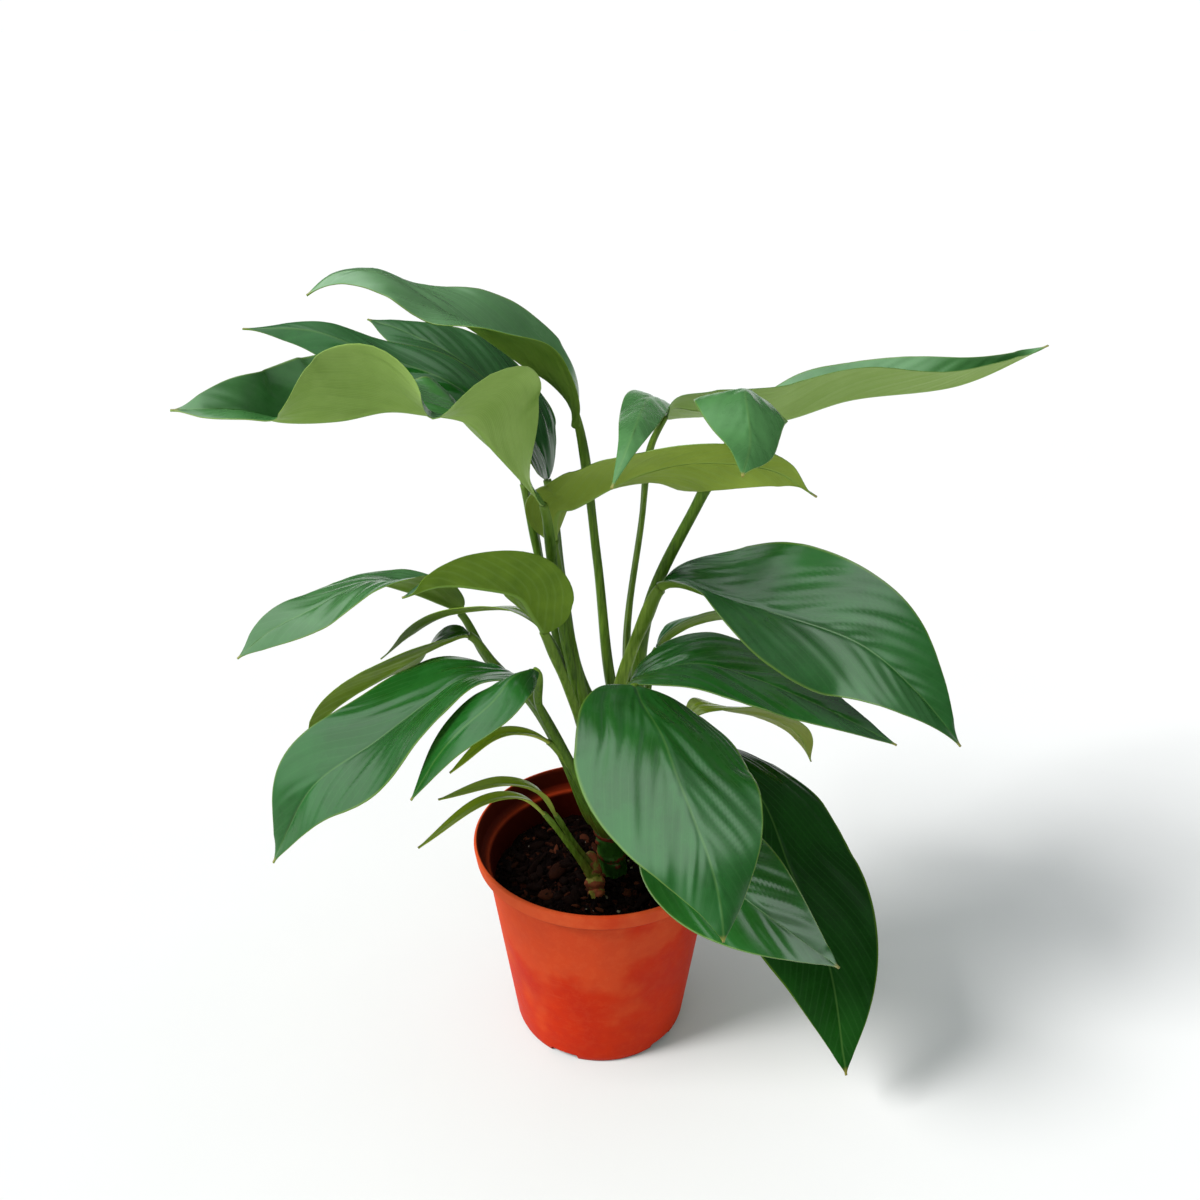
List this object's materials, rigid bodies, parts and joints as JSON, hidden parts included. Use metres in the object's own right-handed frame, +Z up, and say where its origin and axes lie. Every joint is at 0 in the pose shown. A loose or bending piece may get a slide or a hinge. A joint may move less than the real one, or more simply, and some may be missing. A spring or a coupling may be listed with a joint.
{
  "type": "potted rhaphidophora decursiva",
  "caption": "Young aroid house plant with long pointed leaves on channelled stalks, rooted in potting mix in a tapered plastic nursery pot.",
  "frame": {"origin": "centre of the circle that the pot's foot ring stands on, on the surface below the pot", "axes": "+Z up along the pot's axis; the picture looks along +Y and down, so -Y is the plant's front and +X is the picture's right"},
  "size_m": [0.3617, 0.2199, 0.371],
  "materials": {
    "pot": "thin moulded plastic, terracotta orange, satin, a little dusty at the rim",
    "potting_mix": "damp dark potting mix with flecks of bark",
    "stem": "smooth green plant tissue, with brown rings and scars at the nodes",
    "leaf": "glossy dark green above, matte yellow green below"
  },
  "bodies": {
    "root": {"pot": "pot", "soil": "potting_mix", "stem_front": "stem", "stem_back": "stem", "stem_shoot": "stem", "leaf_top": "leaf", "leaf_long_left": "leaf", "leaf_dark_left": "leaf", "leaf_slim_left": "leaf", "leaf_mid_left": "leaf", "leaf_hook_left": "leaf", "leaf_sliver_left": "leaf", "leaf_under_left": "leaf", "leaf_low_left": "leaf", "leaf_small_left": "leaf", "leaf_strap_high": "leaf", "leaf_strap_middle": "leaf", "leaf_strap_low": "leaf", "leaf_arch_right": "leaf", "leaf_far_right": "leaf", "leaf_nod_left": "leaf", "leaf_nod_front": "leaf", "leaf_broad_right": "leaf", "leaf_under_right": "leaf", "leaf_back_right": "leaf", "leaf_side_right": "leaf", "leaf_front": "leaf", "leaf_low_front": "leaf", "leaf_low_right": "leaf"}
  },
  "joints": []
}
